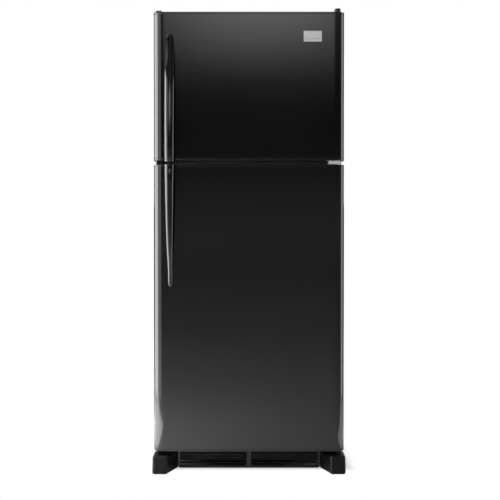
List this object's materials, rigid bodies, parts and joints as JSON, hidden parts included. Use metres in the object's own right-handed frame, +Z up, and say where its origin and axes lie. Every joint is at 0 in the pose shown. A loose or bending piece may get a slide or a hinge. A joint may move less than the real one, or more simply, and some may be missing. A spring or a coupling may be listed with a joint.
{
  "type": "top freezer refrigerator",
  "caption": "Free-standing top freezer refrigerator with hinged black doors, arched handles, door bins, glass shelves, sliding drawers and a rear machine compartment.",
  "frame": {"origin": "floor level, in the middle of the area that the whole refrigerator covers", "axes": "+X to the viewer's right, -Y to the front, +Z up"},
  "size_m": [0.722, 0.7621, 1.74],
  "materials": {
    "door_paint": "smooth gloss black enamel",
    "cabinet_paint": "finely textured black enamel",
    "gloss_black": "glossy black moulding",
    "black_plastic": "satin black moulding",
    "gasket": "soft extruded vinyl",
    "liner": "vacuum-formed white sheet",
    "white_plastic": "satin white moulding",
    "clear_plastic": "clear moulded bin",
    "shelf_glass": "tempered sheet glass",
    "hinge_steel": "zinc-plated sheet steel",
    "galvanised": "galvanised sheet steel",
    "screw_steel": "zinc-plated screws",
    "evaporator_metal": "mill finish tube and fins",
    "shelf_wire": "white coated wire",
    "compressor_paint": "black enamel",
    "condenser_paint": "black painted steel tube",
    "badge_metal": "brushed plate with nothing on it",
    "fan_plastic": "moulded fan",
    "insulation_foam": "rigid foamed-in-place insulation",
    "roller_plastic": "hard nylon roller"
  },
  "bodies": {
    "cabinet": {"cabinet_shell": "cabinet_paint", "rear_panel": "galvanised", "cabinet_foam": "insulation_foam", "fresh_food_liner": "liner", "freezer_liner": "liner", "mullion_front_bar": "cabinet_paint", "machine_compartment": "galvanised", "base_rails": "cabinet_paint", "toe_grille": "black_plastic", "foot_cover_left": "black_plastic", "foot_cover_right": "black_plastic", "top_hinge": "hinge_steel", "top_hinge_cover": "black_plastic", "centre_hinge": "hinge_steel", "bottom_hinge": "cabinet_paint", "hinge_screws": "screw_steel", "evaporator_cover": "white_plastic", "evaporator": "evaporator_metal", "evaporator_fan_motor": "compressor_paint", "freezer_shelf": "shelf_wire", "shelf_glass": "shelf_glass", "shelf_trims": "white_plastic", "drawer_rails": "white_plastic", "control_housing": "white_plastic", "light_lens": "white_plastic", "compressor": "compressor_paint", "condenser_coil": "condenser_paint", "condenser_fan_shroud": "black_plastic", "condenser_fan_motor": "galvanised", "drain_pan": "black_plastic", "machine_cover": "galvanised", "power_inlet": "black_plastic"},
    "freezer_door": {"freezer_door_skin": "door_paint", "freezer_door_caps": "gloss_black", "freezer_door_foam": "insulation_foam", "freezer_door_liner": "liner", "freezer_door_gasket": "gasket", "freezer_door_bins": "clear_plastic", "freezer_handle": "gloss_black", "badge": "badge_metal"},
    "fresh_food_door": {"fresh_door_skin": "door_paint", "fresh_door_caps": "gloss_black", "fresh_door_foam": "insulation_foam", "fresh_door_liner": "liner", "fresh_door_gasket": "gasket", "fresh_door_bins": "clear_plastic", "fresh_handle": "gloss_black"},
    "dairy_lid": {"dairy_lid": "clear_plastic"},
    "crisper_left": {"crisper_drawer_left": "clear_plastic"},
    "crisper_right": {"crisper_drawer_right": "clear_plastic"},
    "deli_drawer": {"deli_drawer": "clear_plastic"},
    "knob_freezer": {"temperature_knob_freezer": "white_plastic"},
    "knob_fresh": {"temperature_knob_fresh": "white_plastic"},
    "switch_button": {"light_switch_button": "white_plastic"},
    "leg_left": {"front_leg_left": "screw_steel"},
    "leg_right": {"front_leg_right": "screw_steel"},
    "roller_left": {"rear_roller_left": "roller_plastic"},
    "roller_right": {"rear_roller_right": "roller_plastic"},
    "evaporator_fan": {"evaporator_fan": "fan_plastic"},
    "condenser_fan": {"condenser_fan": "fan_plastic"}
  },
  "joints": [
    {"name": "freezer_door_hinge", "type": "hinge", "parent": "cabinet", "child": "freezer_door", "pos_m": [0.335, -0.29, 1.45], "axis": [0, 0, 1], "range_deg": [0, 130]},
    {"name": "fresh_food_door_hinge", "type": "hinge", "parent": "cabinet", "child": "fresh_food_door", "pos_m": [0.335, -0.29, 0.62], "axis": [0, 0, 1], "range_deg": [0, 130]},
    {"name": "dairy_lid_hinge", "type": "hinge", "parent": "fresh_food_door", "child": "dairy_lid", "pos_m": [0, -0.1915, 1.096], "axis": [1, 0, 0], "range_deg": [0, 80]},
    {"name": "crisper_left_slide", "type": "slide", "parent": "cabinet", "child": "crisper_left", "axis": [0, -1, 0], "range_m": [0, 0.2]},
    {"name": "crisper_right_slide", "type": "slide", "parent": "cabinet", "child": "crisper_right", "axis": [0, -1, 0], "range_m": [0, 0.2]},
    {"name": "deli_drawer_slide", "type": "slide", "parent": "cabinet", "child": "deli_drawer", "axis": [0, -1, 0], "range_m": [0, 0.2]},
    {"name": "knob_freezer_turn", "type": "hinge", "parent": "cabinet", "child": "knob_freezer", "pos_m": [-0.08, -0.085, 1.112], "axis": [0, -1, 0], "range_deg": [-135, 135]},
    {"name": "knob_fresh_turn", "type": "hinge", "parent": "cabinet", "child": "knob_fresh", "pos_m": [0.08, -0.085, 1.112], "axis": [0, -1, 0], "range_deg": [-135, 135]},
    {"name": "light_switch_press", "type": "slide", "parent": "cabinet", "child": "switch_button", "axis": [0, 1, 0], "range_m": [0, 0.004], "stiffness_N_per_m": 100},
    {"name": "leg_left_turn", "type": "hinge", "parent": "cabinet", "child": "leg_left", "pos_m": [-0.318, -0.215, 0.05], "axis": [0, 0, 1], "continuous": true},
    {"name": "leg_right_turn", "type": "hinge", "parent": "cabinet", "child": "leg_right", "pos_m": [0.318, -0.215, 0.05], "axis": [0, 0, 1], "continuous": true},
    {"name": "roller_left_spin", "type": "hinge", "parent": "cabinet", "child": "roller_left", "pos_m": [-0.3, 0.34, 0.02], "axis": [1, 0, 0], "continuous": true},
    {"name": "roller_right_spin", "type": "hinge", "parent": "cabinet", "child": "roller_right", "pos_m": [0.3, 0.34, 0.02], "axis": [1, 0, 0], "continuous": true},
    {"name": "evaporator_fan_spin", "type": "hinge", "parent": "cabinet", "child": "evaporator_fan", "pos_m": [0, 0.268, 1.58], "axis": [0, 1, 0], "continuous": true},
    {"name": "condenser_fan_spin", "type": "hinge", "parent": "cabinet", "child": "condenser_fan", "pos_m": [-0.015, 0.265, 0.15], "axis": [1, 0, 0], "continuous": true}
  ],
  "couplings": [
    {"joint": "crisper_left_slide", "follows": "fresh_food_door_hinge", "m_per_rad": 0.086},
    {"joint": "crisper_right_slide", "follows": "fresh_food_door_hinge", "m_per_rad": 0.086},
    {"joint": "deli_drawer_slide", "follows": "fresh_food_door_hinge", "m_per_rad": 0.086}
  ]
}
